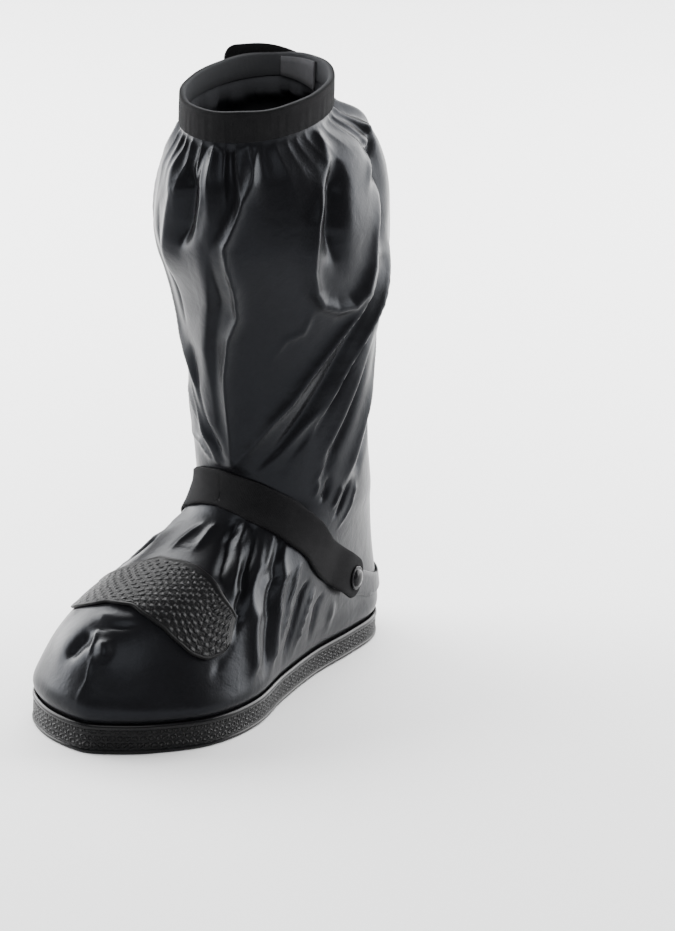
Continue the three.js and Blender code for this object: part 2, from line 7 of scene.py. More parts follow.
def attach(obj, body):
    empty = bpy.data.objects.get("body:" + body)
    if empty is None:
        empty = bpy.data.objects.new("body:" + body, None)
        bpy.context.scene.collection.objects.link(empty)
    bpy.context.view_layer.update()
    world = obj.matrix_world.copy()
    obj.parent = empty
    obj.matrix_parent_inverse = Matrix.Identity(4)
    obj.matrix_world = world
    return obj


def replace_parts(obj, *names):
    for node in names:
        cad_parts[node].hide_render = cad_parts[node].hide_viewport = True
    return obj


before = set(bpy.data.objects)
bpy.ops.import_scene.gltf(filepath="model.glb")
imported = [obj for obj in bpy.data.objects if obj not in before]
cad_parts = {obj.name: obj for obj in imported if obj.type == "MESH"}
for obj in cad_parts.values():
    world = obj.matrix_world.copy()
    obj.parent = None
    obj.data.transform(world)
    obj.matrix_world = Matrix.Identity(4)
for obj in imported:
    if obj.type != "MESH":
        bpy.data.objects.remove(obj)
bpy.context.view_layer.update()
scene = bpy.context.scene


# UPPER
# The leg and foot of the cover: thin cloth, coated semi-gloss outside and matte inside, cut
# as two panels that are welded along the front, the back and the toe, gathered into the
# cuff and glued into the sole. Its creases come from lying folded.

# Millimetres. Angles run round the cover from the heel (0) over the medial side (90) and
# the toe (180) to the lateral side (270).
MM = 0.001
SOLE_LENGTH, BALL_WIDTH, HEEL_REACH = 294.0, 123.0, 103.0
ANKLE_HEIGHT, TOTAL_HEIGHT = 120.0, 383.0
SHAFT_WIDTH, SHAFT_DEPTH = 132.0, 161.0
CUFF_WIDTH, CUFF_DEPTH, CUFF_HEIGHT, CUFF_THICKNESS, CUFF_TILT = 82.0, 107.0, 19.5, 1.0, 9.0
CLOTH_WALL, GAP = 1.3, 0.3
SOLE_THICKNESS, SIDEWALL_HEEL, SIDEWALL_TOE, SIDEWALL_WALL = 4.0, 15.0, 19.0, 2.4
OVER_WELT_INSET, OVER_WELT_RISE = 0.9, 3.0    # where the cloth comes out over the sole's side

# half widths of the sole, shares of BALL_WIDTH, from heel to toe
FOOTPRINT_STEP = 18.0
FOOTPRINT_MEDIAL = [0, .179, .310, .355, .385, .461, .562, .542, .390, .211, .065]
FOOTPRINT_LATERAL = [0, .179, .293, .317, .350, .407, .447, .452, .380, .178, -.065]

# over the foot: back, back up, front, front up, medial, lateral, share of the sole's shape
FOOT_SECTIONS = [
    (.350, .267, -.645, .300, .488, .478, .75),
    (.347, .367, -.612, .450, .463, .440, .45),
    (.344, .467, -.561, .567, .439, .395, .25),
    (.340, .567, -.483, .658, .423, .345, .12),
    (.333, .675, -.367, .733, .407, .318, .05),
    (.323, .783, -.248, .800, .398, .328, 0),
    (.310, .883, -.160, .900, .398, .362, 0),
]
# up the leg: back, back up, front, front up, medial, lateral
LEG_SECTIONS = [
    (.540, .000, -.236, .008, .371, .352),
    (.516, .114, -.236, .114, .379, .379),
    (.516, .285, -.286, .285, .409, .394),
    (.552, .475, -.360, .475, .474, .455),
    (.534, .654, -.466, .654, .500, .500),
    (.436, .850, -.466, .785, .432, .416),
]
CUFF_CENTRE = -0.078

# folds: height out and half width as shares of SHAFT_WIDTH, how sharp the crest is (2 round,
# 1 a crease), and the places along the fold (angle, share of TOTAL_HEIGHT)
FOLDS = [
    (.046, .08, 1.25, [(170, .9), (167, .8), (172, .7), (182, .57), (180, .44), (173, .375)]),
    (.034, .034, 1.1, [(134, .925), (143, .873), (150, .841), (160, .767), (158, .7),
     (160, .64), (166, .598), (170, .528), (171, .452), (171, .372)]),
    (-.05, .045, 1.8, [(193, .9), (182, .85), (184, .79), (190, .747)]),
    (.034, .055, 1.4, [(204, .9), (196, .83), (198, .76), (206, .68)]),
    (.042, .036, 1.4, [(80, .945), (92, .9), (106, .85), (115, .797), (119, .72), (119, .68),
     (116, .655), (108, .642), (98, .642), (90, .66), (82, .697), (76, .75), (68, .81)]),
    (-.06, .06, 2, [(92, .89), (101, .84), (106, .78), (105, .72)]),
    (.038, .03, 1.2, [(75, .706), (84, .668), (95, .624), (106, .588), (118, .541),
     (132, .484), (144, .449), (158, .401), (170, .362)]),
    (.046, .032, 1.2, [(56, .7), (64, .662), (74, .621), (84, .584), (92, .544),
     (102, .5), (110, .459), (122, .406), (134, .37)]),
    (-.022, .028, 1.7, [(66, .69), (84, .63), (97, .575), (110, .51), (124, .455),
     (140, .4), (152, .37)]),
    (-.04, .032, 1.5, [(50, .66), (64, .594), (80, .561), (90, .531), (100, .487),
     (110, .45), (125, .401), (136, .365)]),
    (.026, .038, 1.4, [(70, .555), (86, .49), (97, .44), (106, .4), (112, .36)]),
    (-.03, .035, 1.7, [(66, .53), (81, .465), (91, .423), (103, .382), (109, .34)]),
    (.024, .035, 1.4, [(60, .47), (72, .409), (82, .361), (92, .32)]),
    (-.045, .065, 2, [(58, .9), (60, .8), (68, .7)]),
    (.024, .07, 1.5, [(44, .9), (36, .76), (32, .62)]),
    (.03, .042, 1.3, [(216, .58), (205, .53), (194, .47), (176, .385)]),
    (.024, .036, 1.3, [(232, .49), (214, .455), (194, .415), (178, .372)]),
    (.026, .065, 1.3, [(2, .88), (0, .6), (358, .34)]),
    (-.034, .055, 1.8, [(18, .58), (26, .46), (40, .37)]),
    (-.042, .065, 2, [(336, .86), (328, .7), (320, .52)]),
    (.036, .06, 1.4, [(302, .9), (298, .76), (306, .6)]),
    (-.05, .075, 2, [(262, .88), (254, .78), (250, .66)]),
    (.036, .048, 1.3, [(322, .6), (284, .55), (252, .48), (228, .39)]),
    (-.028, .042, 1.8, [(304, .66), (268, .58), (236, .5), (210, .4)]),
    (.03, .045, 1.3, [(338, .52), (306, .46), (276, .38)]),
    (.024, .036, 1.5, [(144, .274), (122, .227), (109, .166), (108, .102), (112, .05)]),
    (-.024, .024, 1.6, [(126, .26), (108, .21), (102, .156), (102, .113), (104, .062)]),
    (.022, .022, 1.4, [(119, .25), (103, .206), (98, .154), (98, .106), (101, .06)]),
    (.026, .030, 1.3, [(214, .27), (234, .23), (246, .18), (249, .127), (248, .08)]),
    (-.024, .026, 1.6, [(236, .25), (250, .22), (259, .175), (262, .1)]),
    (.022, .026, 1.3, [(264, .21), (275, .165), (278, .1)]),
    (-.034, .038, 1.8, [(182, .175), (186, .162), (191, .137)]),
    (.028, .034, 1.7, [(173, .17), (169, .158), (167, .144)]),
]
# thin creases between and along the folds, written the same way
CREASES = [
    (-.022, .034, 1.8, [(150, .89), (159, .83), (169, .762), (169, .665), (176, .59),
     (179, .5), (178, .4)]),
    (.018, .018, 1.3, [(136, .92), (143, .873), (150, .841), (160, .767), (158, .7),
     (160, .64), (166, .598), (170, .528), (171, .452), (171, .372)]),
    (.012, .014, 1.3, [(176, .905), (173, .84), (178, .77)]),
    (-.02, .02, 1.5, [(48, .93), (52, .877), (72, .827)]),
    (.014, .018, 1.4, [(36, .91), (62, .875), (78, .826)]),
    (.014, .014, 1.2, [(152, .358), (136, .399), (123, .437), (111, .468)]),
    (.014, .014, 1.2, [(100, .405), (109, .362), (116, .33)]),
    (.01, .014, 1.3, [(143, .561), (136, .594), (126, .608), (121, .643)]),
    (-.02, .024, 1.6, [(48, .4), (70, .352), (80, .322)]),
    (.014, .018, 1.3, [(228, .388), (204, .385), (184, .364)]),
    (-.024, .02, 1.5, [(200, .558), (196, .487), (188, .434), (177, .372)]),
    (.014, .014, 1.2, [(212, .5), (202, .462), (189, .396), (182, .36)]),
    (-.028, .022, 1.5, [(150, .281), (132, .237), (121, .209), (116, .17), (120, .137),
     (124, .113)]),
    (.012, .012, 1.2, [(134, .268), (122, .238), (116, .22)]),
    (.014, .012, 1.2, [(99, .226), (94, .186), (93, .146), (96, .1)]),
    (-.022, .02, 1.6, [(86, .19), (88, .167), (89, .124), (91, .091), (94, .058)]),
    (.016, .012, 1.2, [(81, .187), (82, .157), (84, .126), (86, .089), (88, .056)]),
    (-.016, .018, 1.6, [(75, .15), (78, .13), (78, .093), (79, .056)]),
    (.014, .02, 1.4, [(68, .119), (68, .074), (72, .045)]),
    (-.02, .014, 1.4, [(104, .335), (106, .315), (112, .288)]),
    (.014, .012, 1.2, [(112, .335), (114, .319), (118, .293)]),
    (-.018, .014, 1.4, [(86, .315), (90, .298), (94, .259)]),
    (.014, .012, 1.2, [(94, .315), (97, .301), (101, .266)]),
    (.012, .012, 1.2, [(80, .305), (82, .289), (84, .243)]),
    (-.028, .024, 1.6, [(160, .283), (158, .262), (146, .24), (130, .213)]),
    (.014, .011, 1.2, [(156, .284), (148, .256), (133, .231), (122, .2)]),
    (-.022, .024, 1.6, [(226, .25), (240, .2), (252, .12), (254, .08)]),
    (.02, .022, 1.3, [(244, .24), (256, .2), (266, .14), (268, .08)]),
    (-.022, .024, 1.6, [(258, .22), (268, .17), (272, .1)]),
    (.016, .02, 1.3, [(174, .272), (173, .262), (171, .25)]),
    (.014, .018, 1.3, [(183, .27), (188, .257), (190, .246)]),
    (.01, .02, 1.5, [(188, .192), (176, .195), (160, .194)]),
    (-.014, .014, 1.4, [(184, .182), (171, .186), (158, .187)]),
    (.014, .011, 1.2, [(180, .18), (178, .168), (177, .152)]),
    (.007, .007, 1.2, [(175, .151), (174, .118), (178, .09), (179, .07)]),
    (-.012, .018, 1.6, [(212, .8), (208, .7), (204, .6)]),
    (.014, .02, 1.4, [(224, .76), (222, .64), (212, .54)]),
    (.012, .018, 1.4, [(242, .86), (236, .74), (232, .62)]),
    (.012, .018, 1.4, [(14, .8), (20, .7), (16, .6)]),
    (-.014, .02, 1.5, [(346, .66), (340, .56), (330, .46)]),
    (.012, .016, 1.3, [(30, .56), (52, .5), (68, .42)]),
]
GATHERS, GATHER_OUT = 15, 0.022      # wide waves below the cuff, height as a share of SHAFT_WIDTH
PLEATS, PLEAT_OUT = 38, 1.3          # narrow ones at the cuff's edge, height in millimetres
CALM_MIDDLE, CALM_HALF, CALM = 104, 44, 0.85   # angles where the cloth hardly gathers, and how much less

# What the cloth lies flat under: the strap's middle from the snap to the front, the heel
# band's middle from the heel to its end, and the patch's edges (angle, low, high). Heights
# are shares of ANKLE_HEIGHT; strap and band are the same on both sides.
STRAP_WIDTH, HEEL_BAND_HEIGHT = 26.0, 17.0
STRAP_PATH = [(61, .470), (66, .520), (73, .585), (84, .668), (94, .739), (108, .808),
              (122, .864), (138, .931), (163, 1.000), (180, 1.020)]
HEEL_PATH = [(0, .255), (28, .270), (40, .315), (50, .380), (66, .480)]
PATCH = [(118, .470, .560), (121, .432, .598), (126, .422, .640), (131, .446, .672),
         (138, .512, .706), (147, .580, .735), (159, .628, .757), (172, .655, .766),
         (186, .650, .764), (198, .622, .742), (208, .588, .714), (217, .548, .680),
         (224, .520, .648), (229, .516, .618), (232, .540, .590)]
FLAT_BESIDE, FREE_BESIDE = 0.5, 5    # distances from their edges between which folds begin


def bend(start, end, start_slope, end_slope, length, t):
    """Smooth line from start to end, t of the way along a stretch of that length."""
    return (start * (2 * t**3 - 3 * t**2 + 1) + end * (3 * t**2 - 2 * t**3)
            + length * (start_slope * (t**3 - 2 * t**2 + t) + end_slope * (t**3 - t**2)))


def curve(xs, ys, x):
    """Smooth line through the points (xs, ys) that never overshoots them."""
    xs, ys = np.asarray(xs, float), np.asarray(ys, float)
    steps = np.diff(xs)
    slopes = np.diff(ys) / steps
    at_points = np.empty(len(xs))
    at_points[0], at_points[-1] = slopes[0], slopes[-1]
    a, b = slopes[:-1], slopes[1:]
    at_points[1:-1] = np.where(a * b > 0, 2 * a * b / np.where(a + b == 0, 1, a + b), 0)
    i = np.clip(np.searchsorted(xs, x, side="right") - 1, 0, len(xs) - 2)
    t = np.clip((x - xs[i]) / steps[i], 0, 1)
    return bend(ys[i], ys[i + 1], at_points[i], at_points[i + 1], steps[i], t)


def smooth(low, high, x):
    """0 up to low, 1 from high on, and a soft rise between them."""
    t = np.clip((x - low) / (high - low), 0, 1)
    return t * t * (3 - 2 * t)


SOLE_RING = np.array(FOOTPRINT_MEDIAL + [-v for v in FOOTPRINT_LATERAL[-2:0:-1]])


def sole_half_width(angle):
    """Half width of the sole, less than 0 on the lateral side."""
    n = len(SOLE_RING)
    at = np.mod(np.asarray(angle, float) / FOOTPRINT_STEP, n)
    i = np.floor(at).astype(int)
    t = at - i
    y = [SOLE_RING[(i + k) % n] for k in (-1, 0, 1, 2)]
    return BALL_WIDTH * 0.5 * (2 * y[1] + (y[2] - y[0]) * t
                               + (2 * y[0] - 5 * y[1] + 4 * y[2] - y[3]) * t * t
                               + (3 * y[1] - y[0] - 3 * y[2] + y[3]) * t**3)


def share(angle):
    """How far an angle lies from the heel (0) to the toe (1)."""
    return (1 - np.cos(np.radians(angle))) / 2


def sidewall_top(angle):
    return SIDEWALL_HEEL + (SIDEWALL_TOE - SIDEWALL_HEEL) * share(angle)


def sole_edge(angle, inset, up):
    """Points of the sole's outline, moved inward by inset."""
    a = np.asarray(angle, float)
    at = lambda k: np.stack([sole_half_width(k), HEEL_REACH - SOLE_LENGTH * share(k)], -1)
    along = at(a + 0.5) - at(a - 0.5)
    along /= np.linalg.norm(along, axis=-1, keepdims=True)
    p = at(a)
    return np.stack([p[..., 0] + along[..., 1] * inset, p[..., 1] - along[..., 0] * inset,
                     np.broadcast_to(up, a.shape)], -1)


RIM_UP = TOTAL_HEIGHT - CUFF_THICKNESS - GAP
SECTIONS = np.array(
    [(b * SOLE_LENGTH, bu * ANKLE_HEIGHT, f * SOLE_LENGTH, fu * ANKLE_HEIGHT,
      m * BALL_WIDTH, l * BALL_WIDTH, s) for b, bu, f, fu, m, l, s in FOOT_SECTIONS]
    + [(b * SHAFT_DEPTH, ANKLE_HEIGHT + bu * (TOTAL_HEIGHT - ANKLE_HEIGHT), f * SHAFT_DEPTH,
        ANKLE_HEIGHT + fu * (TOTAL_HEIGHT - ANKLE_HEIGHT), m * SHAFT_WIDTH,
        l * SHAFT_WIDTH, 0) for b, bu, f, fu, m, l in LEG_SECTIONS]
    + [(CUFF_CENTRE * SHAFT_DEPTH + CUFF_DEPTH / 2, RIM_UP - low,
        CUFF_CENTRE * SHAFT_DEPTH - CUFF_DEPTH / 2, RIM_UP - CUFF_TILT - low,
        CUFF_WIDTH / 2, CUFF_WIDTH / 2, 0) for low in (CUFF_HEIGHT, 0)])
LAST = len(SECTIONS) - 1
CUFF_LEVEL = LAST - 1


def surface(angle, level):
    """Points of the upper's outside without folds; level 0 is the lowest section, LAST the rim."""
    angle, level = np.broadcast_arrays(np.asarray(angle, float), np.asarray(level, float))
    back, back_up, front, front_up, medial, lateral, sole = (
        curve(np.arange(LAST + 1), SECTIONS[:, k], level) for k in range(SECTIONS.shape[1]))
    side, along = np.sin(np.radians(angle)), share(angle)
    oval = side * np.where(side >= 0, medial, lateral)
    return np.stack([oval + (sole_half_width(angle) - oval) * sole,
                     back + (front - back) * along, back_up + (front_up - back_up) * along], -1)


def unit(v):
    return v / np.linalg.norm(v, axis=-1, keepdims=True)


def mirrored(angle):
    """The same angle on the medial side."""
    angle = np.mod(angle, 360)
    return np.where(angle > 180, 360 - angle, angle)


def path_up(path, angle):
    """Height of the strap's or the heel band's middle at an angle."""
    return ANKLE_HEIGHT * curve([p[0] for p in path], [p[1] for p in path], mirrored(angle))


def stretch(angle, level):
    """Millimetres along the surface for one degree round it and one millimetre of height."""
    level = np.clip(level, 0, LAST)
    turn = np.linalg.norm(surface(angle + 1, level) - surface(angle - 1, level), axis=-1) / 2
    rise = (surface(angle, np.minimum(level + 0.05, LAST))
            - surface(angle, np.maximum(level - 0.05, 0)))
    return turn, np.minimum(3, np.linalg.norm(rise, axis=-1) / np.maximum(rise[..., 2], 0.001))


def may_fold(angle, z, level, turn_mm, slant):
    """1 where the cloth is free to fold, 0 under the cuff, the bands and the patch."""
    angle = np.mod(angle, 360)
    turn = mirrored(angle)

    def beside(up, half, turns):
        reach = np.hypot(np.maximum(0, np.abs(z - up) * slant - half),
                         np.maximum(0, turns) * turn_mm)
        return smooth(FLAT_BESIDE, FREE_BESIDE, reach)

    free = 1 - smooth(CUFF_LEVEL - 0.2, CUFF_LEVEL, level)
    free = free * beside(path_up(STRAP_PATH, turn), STRAP_WIDTH * np.where(turn > 120, .5, .62),
                         STRAP_PATH[0][0] - 10 - turn)
    free = free * beside(path_up(HEEL_PATH, turn), HEEL_BAND_HEIGHT * 0.55,
                         turn - HEEL_PATH[-1][0])
    angles = [row[0] for row in PATCH]
    low = ANKLE_HEIGHT * curve(angles, [row[1] for row in PATCH], angle)
    high = ANKLE_HEIGHT * curve(angles, [row[2] for row in PATCH], angle)
    return free * beside((low + high) / 2, slant * (high - low) / 2,
                         np.maximum(angles[0] - angle, angle - angles[-1]))


def fold_height(angle, z, turn_mm, slant):
    """How far the folds and creases stand out, by the distance from each one's line."""
    out = np.zeros(z.shape)
    for height, width, crest, path in FOLDS + CREASES:
        nearest, along = np.full(z.shape, 1e9), np.zeros(z.shape)
        fx = (np.mod(path[0][0] - angle + 180, 360) - 180) * turn_mm
        fz = (path[0][1] * TOTAL_HEIGHT - z) * slant
        for i in range(1, len(path)):
            tx = fx + ((path[i][0] - path[i - 1][0] + 180) % 360 - 180) * turn_mm
            tz = (path[i][1] * TOTAL_HEIGHT - z) * slant
            lx, lz = tx - fx, tz - fz
            t = np.clip(-(fx * lx + fz * lz) / (lx * lx + lz * lz), 0, 1)
            distance = np.hypot(fx + lx * t, fz + lz * t)
            along = np.where(distance < nearest, (i - 1 + t) / (len(path) - 1), along)
            nearest = np.minimum(nearest, distance)
            fx, fz = tx, tz
        taper = np.minimum(1, 0.25 + 4 * along * (1 - along))
        out += height * SHAFT_WIDTH * taper * np.exp(-(nearest / (width * SHAFT_WIDTH)) ** crest)
    return out


def way_along(rows):
    """Distance along a row of points from its first one."""
    return np.concatenate([[0], np.cumsum(np.linalg.norm(np.diff(rows, axis=0), axis=-1))])


def uv_grid(u, v, shape):
    return np.stack([np.broadcast_to(u, shape), np.broadcast_to(v, shape)], -1)


def grid_mesh(name, points, uv, seam_u=None, flip=False):
    """Mesh through a grid of points in millimetres. With seam_u each row is a closed ring,
    and its last point meets the first one that far on in u."""
    rows, cols = points.shape[:2]
    mesh = bpy.data.meshes.new(name)
    index = np.arange(rows * cols).reshape(rows, cols)
    if seam_u is not None:
        index = np.concatenate([index, index[:, :1]], 1)
        uv = np.concatenate([uv, uv[:, :1] + [[[seam_u, 0]]]], 1)

    def corners(grid):
        four = np.stack([grid[:-1, :-1], grid[:-1, 1:], grid[1:, 1:], grid[1:, :-1]], 2)
        four = four.reshape((-1, 4) + grid.shape[2:])
        return four[:, ::-1] if flip else four

    quads = corners(index)
    mesh.vertices.add(rows * cols)
    mesh.vertices.foreach_set("co", (points.reshape(-1) * MM))
    mesh.loops.add(quads.size)
    mesh.polygons.add(len(quads))
    mesh.loops.foreach_set("vertex_index", quads.reshape(-1).astype(np.int32))
    mesh.polygons.foreach_set("loop_start", np.arange(0, quads.size, 4, dtype=np.int32))
    mesh.update(calc_edges=True)
    mesh.uv_layers.new(name="uv").data.foreach_set("uv", corners(uv).reshape(-1))
    mesh.polygons.foreach_set("use_smooth", np.ones(len(quads), bool))
    mesh.validate()
    obj = bpy.data.objects.new(name, mesh)
    scene.collection.objects.link(obj)
    return obj


def joined(name, objs):
    bpy.ops.object.select_all(action="DESELECT")
    for obj in objs:
        obj.select_set(True)
    bpy.context.view_layer.objects.active = objs[0]
    bpy.ops.object.join()
    objs[0].name = name
    return objs[0]


def mark(piece, name, values):
    """Keep one number for each point, for the material to read."""
    layer = piece.data.attributes.new(name, "FLOAT", "POINT")
    layer.data.foreach_set("value", np.asarray(values, float).reshape(-1))


class Finish:
    """Short way to write a node material. place is the spot on the piece in metres."""

    def __init__(self, name):
        self.mat = bpy.data.materials.new(name)
        self.mat.use_nodes = True
        self.tree = self.mat.node_tree
        self.bsdf = self.tree.nodes["Principled BSDF"]
        self.place = self.add("ShaderNodeTexCoord").outputs["Object"]

    def add(self, kind, inputs=None, **props):
        node = self.tree.nodes.new(kind)
        for key, value in props.items():
            setattr(node, key, value)
        for key, value in (inputs or {}).items():
            self.put(node, key, value)
        return node

    def put(self, node, key, value):
        if isinstance(value, bpy.types.NodeSocket):
            self.tree.links.new(value, node.inputs[key])
        else:
            node.inputs[key].default_value = value

    def math(self, operation, a, b=0.5):
        return self.add("ShaderNodeMath", {0: a, 1: b}, operation=operation).outputs[0]

    def noise(self, scale, detail, distortion=0.0):
        return self.add("ShaderNodeTexNoise", {"Vector": self.place, "Scale": scale,
                                               "Detail": detail, "Distortion": distortion}).outputs[0]

    def ramp(self, value, low, high, from_=0.0, to=1.0):
        node = self.add("ShaderNodeMapRange", {"Value": value, "From Min": low, "From Max": high,
                                               "To Min": from_, "To Max": to})
        return node.outputs[0]

    def shades(self, value, dark, light):
        node = self.add("ShaderNodeValToRGB", {"Fac": value})
        node.color_ramp.elements[0].color = (*dark, 1)
        node.color_ramp.elements[1].color = (*light, 1)
        return node.outputs[0]

    def mixed(self, part, first, second):
        node = self.add("ShaderNodeMix", {0: part, 6: first, 7: (*second, 1)}, data_type="RGBA")
        return node.outputs[2]

    def marked(self, name):
        return self.add("ShaderNodeAttribute", attribute_name=name).outputs["Fac"]

    def uv(self):
        where = self.add("ShaderNodeUVMap", uv_map="uv").outputs[0]
        split = self.add("ShaderNodeSeparateXYZ", {"Vector": where})
        return split.outputs[0], split.outputs[1]

    def bump(self, height, distance, strength, before=None):
        inputs = {"Height": height, "Distance": distance, "Strength": strength}
        if before is not None:
            inputs["Normal"] = before
        return self.add("ShaderNodeBump", inputs).outputs[0]

    def end(self, color, roughness, bump, specular):
        for key, value in (("Base Color", color), ("Roughness", roughness),
                           ("Specular IOR Level", specular), ("Normal", bump)):
            if value is not None:
                self.put(self.bsdf, key, value)
        return self.mat


def coated_cloth(name):
    """Near-black coating with a soft cold gloss; the bare inner side is matte, and its colour is painted
    paler as light for the dim inside of the cover.
    """
    n = Finish(name)
    cloud = n.noise(22.0, 5.0)
    color = n.shades(cloud, (0.004, 0.004, 0.0045), (0.007, 0.007, 0.008))
    rough = n.ramp(cloud, 0.3, 0.7, 0.29, 0.35)
    bump = n.bump(n.noise(75.0, 4.0, 0.6), 0.0009, 0.45)
    bump = n.bump(n.noise(700.0, 2.0), 0.00012, 0.5, bump)
    inner = n.marked("inner")
    # the inner side's paler colour is painted light, standing in for light inside the cover
    color_and_painted_inner_light = n.mixed(inner, color, (0.05, 0.051, 0.055))
    matte = n.math("ADD", rough, n.math("MULTIPLY", inner, 0.4))
    n.bsdf.inputs["Specular Tint"].default_value = (0.82, 0.88, 1.0, 1)
    return n.end(color_and_painted_inner_light, matte, bump, 0.11)


SKIN_AROUND, SKIN_ROWS, SKIN_SEAM_U = 384, 216, 4.2
KEY_ROWS = 160
LINING_ROW, LINING_COLUMN = 3, 2     # the inner side takes every third row and second column
skin_angles = np.arange(SKIN_AROUND) * 360 / SKIN_AROUND
levels = np.linspace(0, LAST, KEY_ROWS)
keys = [sole_edge(skin_angles, SIDEWALL_WALL + GAP, SOLE_THICKNESS + GAP),
        sole_edge(skin_angles, SIDEWALL_WALL + GAP, sidewall_top(skin_angles) + GAP),
        sole_edge(skin_angles, OVER_WELT_INSET, sidewall_top(skin_angles) + OVER_WELT_RISE)]
keys = np.array(keys + [surface(skin_angles, level) for level in levels])
key_levels = np.concatenate([[-0.6, -0.5, -0.4], levels])

# rows at even distances up the cloth, through the key rows
way = np.concatenate([[0], np.cumsum(np.linalg.norm(np.diff(keys, axis=0), axis=-1).mean(1))])
row_way = np.linspace(0, way[-1], SKIN_ROWS)
below = np.clip(np.searchsorted(way, row_way, side="right") - 1, 0, len(way) - 2)
part = ((row_way - way[below]) / (way[below + 1] - way[below]))[:, None, None]
slope = np.gradient(keys, way, axis=0)
base = bend(keys[below], keys[below + 1], slope[below], slope[below + 1],
            (way[below + 1] - way[below])[:, None, None], part)
row_levels = np.interp(row_way, way, key_levels)[:, None] * np.ones(SKIN_AROUND)
turns = np.broadcast_to(skin_angles, row_levels.shape)


def wave(count, ahead=0):
    """Sine with that many waves round the cover."""
    return np.sin(np.radians(turns * count + ahead))


# folds, then the gathers below the cuff, then the narrow pleats at its edge
turn_mm, slant = stretch(turns, row_levels)
free = may_fold(turns, base[..., 2], row_levels, turn_mm, slant) * smooth(-0.4, 0.3, row_levels)
out = fold_height(turns, base[..., 2], turn_mm, slant) * free
calm = 1 - CALM * np.exp(-((turns - CALM_MIDDLE) / CALM_HALF) ** 4)
near = smooth(CUFF_LEVEL - 2.6, CUFF_LEVEL - 0.6, row_levels) * free * calm
gather = np.cos(np.radians(turns * GATHERS)) * (0.8 + 0.4 * wave(3, 40))
out += near * GATHER_OUT * SHAFT_WIDTH * gather * 0.7
uneven = turns * PLEATS + 60 * wave(3, 20) + 45 * wave(7)
reach = smooth(CUFF_LEVEL - 1.7 + 0.5 * wave(11), CUFF_LEVEL - 0.1, row_levels)
pleat = 1 - 2 * np.abs(np.sin(np.radians(uneven / 2))) ** 0.8
out += reach * calm * pleat * PLEAT_OUT * (1 - smooth(CUFF_LEVEL - 0.1, CUFF_LEVEL, row_levels))

# the inner side follows the lowest cloth near each point, so that no crease cuts through it
lowest = out
for axis, far in ((1, 3), (0, 2)):
    before = lowest
    for shift in range(-far, far + 1):
        lowest = np.minimum(lowest, np.roll(before, shift, axis))

around = np.roll(base, -1, 1) - np.roll(base, 1, 1)
outward = unit(np.cross(np.gradient(base, axis=0), around))
uv = uv_grid(turns / 360 * SKIN_SEAM_U, row_way[:, None] / 100, turns.shape)
skin = grid_mesh("upper_skin", base + outward * out[..., None], uv, SKIN_SEAM_U, flip=True)
inward = base + outward * (lowest - CLOTH_WALL)[..., None]
lining = grid_mesh("upper_lining", inward[::LINING_ROW, ::LINING_COLUMN],
                   uv[::LINING_ROW, ::LINING_COLUMN], SKIN_SEAM_U)
for side, value in ((skin, 0.0), (lining, 1.0)):
    mark(side, "inner", np.full(len(side.data.vertices), value))
upper = joined("cover_upper", [skin, lining])
upper.data.materials.append(coated_cloth("coated_cloth"))
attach(upper, "root")
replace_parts(upper, "upper")


# OUTSOLE
# Moulded black rubber: a flat plate and a side that stands up round the cloth, with a
# smooth welt along its top and bottom and a fine chain pattern moulded between them.
def rubber(name, tone):
    """Start of a rubber finish: its colour and its fine grain."""
    n = Finish(name)
    color = n.shades(n.noise(60.0, 4.0), (tone, tone, tone * 1.1),
                     (tone * 1.6, tone * 1.6, tone * 1.75))
    return n, color, n.bump(n.noise(900.0, 2.0), 0.0001, 0.6)


CHAIN_LOW, CHAIN_HIGH = 1.0, 5.0     # v of the pattern's edges on the side
CHAIN_ROWS, CHAIN_LINKS = 0.75, 2.1  # rows for one v, links for one u, which is a centimetre


def chained_rubber(name):
    """Rows of small uneven rings, each row half a ring on from the one below."""
    n, color, bump = rubber(name, 0.0032)
    u, v = n.uv()
    up = n.math("MULTIPLY", v, CHAIN_ROWS)
    shift = n.math("MULTIPLY", n.math("MODULO", n.math("FLOOR", up), 2.0), 0.5)
    wander = n.noise(150.0, 3.0)
    along = n.math("ADD", n.math("MULTIPLY", u, CHAIN_LINKS), n.math("ADD", shift, wander))
    along = n.math("SUBTRACT", n.math("FRACT", along), 0.5)
    across = n.math("SUBTRACT", n.math("FRACT", up), 0.5)
    link = n.math("ADD", n.math("POWER", n.math("MULTIPLY", along, 2.0), 2.0),
                  n.math("POWER", n.math("MULTIPLY", across, 2.2), 2.0))
    ring = n.math("ABSOLUTE", n.math("SUBTRACT", link, 0.5))
    height = n.math("ADD", n.ramp(ring, 0.0, 0.5, 1.0, 0.0), n.math("MULTIPLY", wander, 0.7))
    inside = n.math("MULTIPLY", n.ramp(v, CHAIN_LOW, CHAIN_LOW + 0.1),
                    n.ramp(v, CHAIN_HIGH - 0.1, CHAIN_HIGH, 1.0, 0.0))
    bump = n.bump(n.math("MULTIPLY", height, inside), 0.0010, 1.0, bump)
    return n.end(color, n.ramp(inside, 0.0, 1.0, 0.27, 0.5), bump, 0.15)


SOLE_AROUND = 480
UNDER_INSET, UNDER_UP = 8, 0.9       # the underside is a little hollow inside its rim
sole_angles = np.arange(SOLE_AROUND) * 360 / SOLE_AROUND
